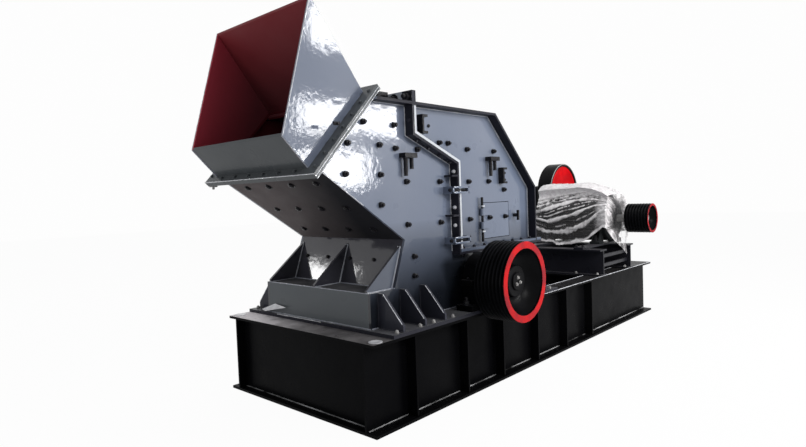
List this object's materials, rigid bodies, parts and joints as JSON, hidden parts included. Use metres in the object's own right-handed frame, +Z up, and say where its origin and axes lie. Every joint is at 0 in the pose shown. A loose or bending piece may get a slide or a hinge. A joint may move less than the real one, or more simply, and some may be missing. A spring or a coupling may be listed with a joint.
{
  "type": "impact fine crusher",
  "caption": "Impact fine crusher: sloping feed hopper, flanged welded housing, rotor with grooved drive pulley and film-wrapped motor on a black welded base frame.",
  "frame": {"origin": "centre of the base frame's underside, level with the floor", "axes": "+Z up, +X along the base from the feed hopper to the motor end, -Y the drive side with the pulleys"},
  "size_m": [5.517, 1.985, 2.795],
  "materials": {
    "housing_enamel": "gloss",
    "frame_black": "gloss",
    "bare_steel": "satin",
    "rotor_iron": "rough",
    "motor_paint": "satin",
    "plastic_film": "gloss",
    "hopper_maroon": "satin",
    "wheel_red": "gloss"
  },
  "bodies": {
    "frame": {"base_near_beam": "frame_black", "base_far_beam": "frame_black", "base_end_beams": "frame_black", "base_cross_beams": "frame_black", "foot_flange": "housing_enamel", "front_side_plate_near": "housing_enamel", "front_side_plate_far": "housing_enamel", "rear_side_plate_near": "housing_enamel", "rear_side_plate_far": "housing_enamel", "front_ledge_box": "housing_enamel", "front_slope_plate": "housing_enamel", "feed_floor": "housing_enamel", "front_roof": "housing_enamel", "rear_roof": "housing_enamel", "rear_slope": "housing_enamel", "rear_wall_upper": "housing_enamel", "rear_wall_lower": "housing_enamel", "split_flange_front": "housing_enamel", "split_flange_rear": "housing_enamel", "split_clamps": "housing_enamel", "front_gussets": "housing_enamel", "side_gussets": "housing_enamel", "inlet_flange": "housing_enamel", "hopper_flange": "housing_enamel", "hopper_side_walls": "housing_enamel", "hopper_floor": "housing_enamel", "hopper_roof": "housing_enamel", "door_hinge_rods": "housing_enamel", "door_latches": "housing_enamel", "apron_brackets": "housing_enamel", "lifting_lugs": "housing_enamel", "bearing_housings": "frame_black", "motor_beams": "frame_black", "motor_rails": "frame_black", "motor_tie_bars": "frame_black", "motor_body": "motor_paint", "film_cover": "plastic_film", "second_wheel_stand": "frame_black"},
    "rotor": {"rotor_shaft": "bare_steel", "rotor_drum": "rotor_iron", "blow_bars": "rotor_iron", "drive_pulley": "frame_black"},
    "motor_rotor": {"motor_shaft": "bare_steel", "motor_pulley": "frame_black"},
    "rear_wheel": {"second_wheel": "frame_black", "second_wheel_shaft": "bare_steel"},
    "near_door": {"inspection_door_near": "housing_enamel"},
    "far_door": {"inspection_door_far": "housing_enamel"}
  },
  "joints": [
    {"name": "rotor_spin", "type": "hinge", "parent": "frame", "child": "rotor", "pos_m": [-1.061, 0, 0.84], "axis": [0, 1, 0], "continuous": true},
    {"name": "motor_spin", "type": "hinge", "parent": "frame", "child": "motor_rotor", "pos_m": [1.686, 0, 1.184], "axis": [0, 1, 0], "continuous": true},
    {"name": "rear_wheel_spin", "type": "hinge", "parent": "frame", "child": "rear_wheel", "pos_m": [2.304, 0, 1.489], "axis": [0, 1, 0], "continuous": true},
    {"name": "near_door_hinge", "type": "hinge", "parent": "frame", "child": "near_door", "pos_m": [-0.88, -0.626, 1.3], "axis": [0, 0, -1], "range_deg": [0, 95]},
    {"name": "far_door_hinge", "type": "hinge", "parent": "frame", "child": "far_door", "pos_m": [-0.88, 0.626, 1.3], "axis": [0, 0, 1], "range_deg": [0, 95]}
  ]
}
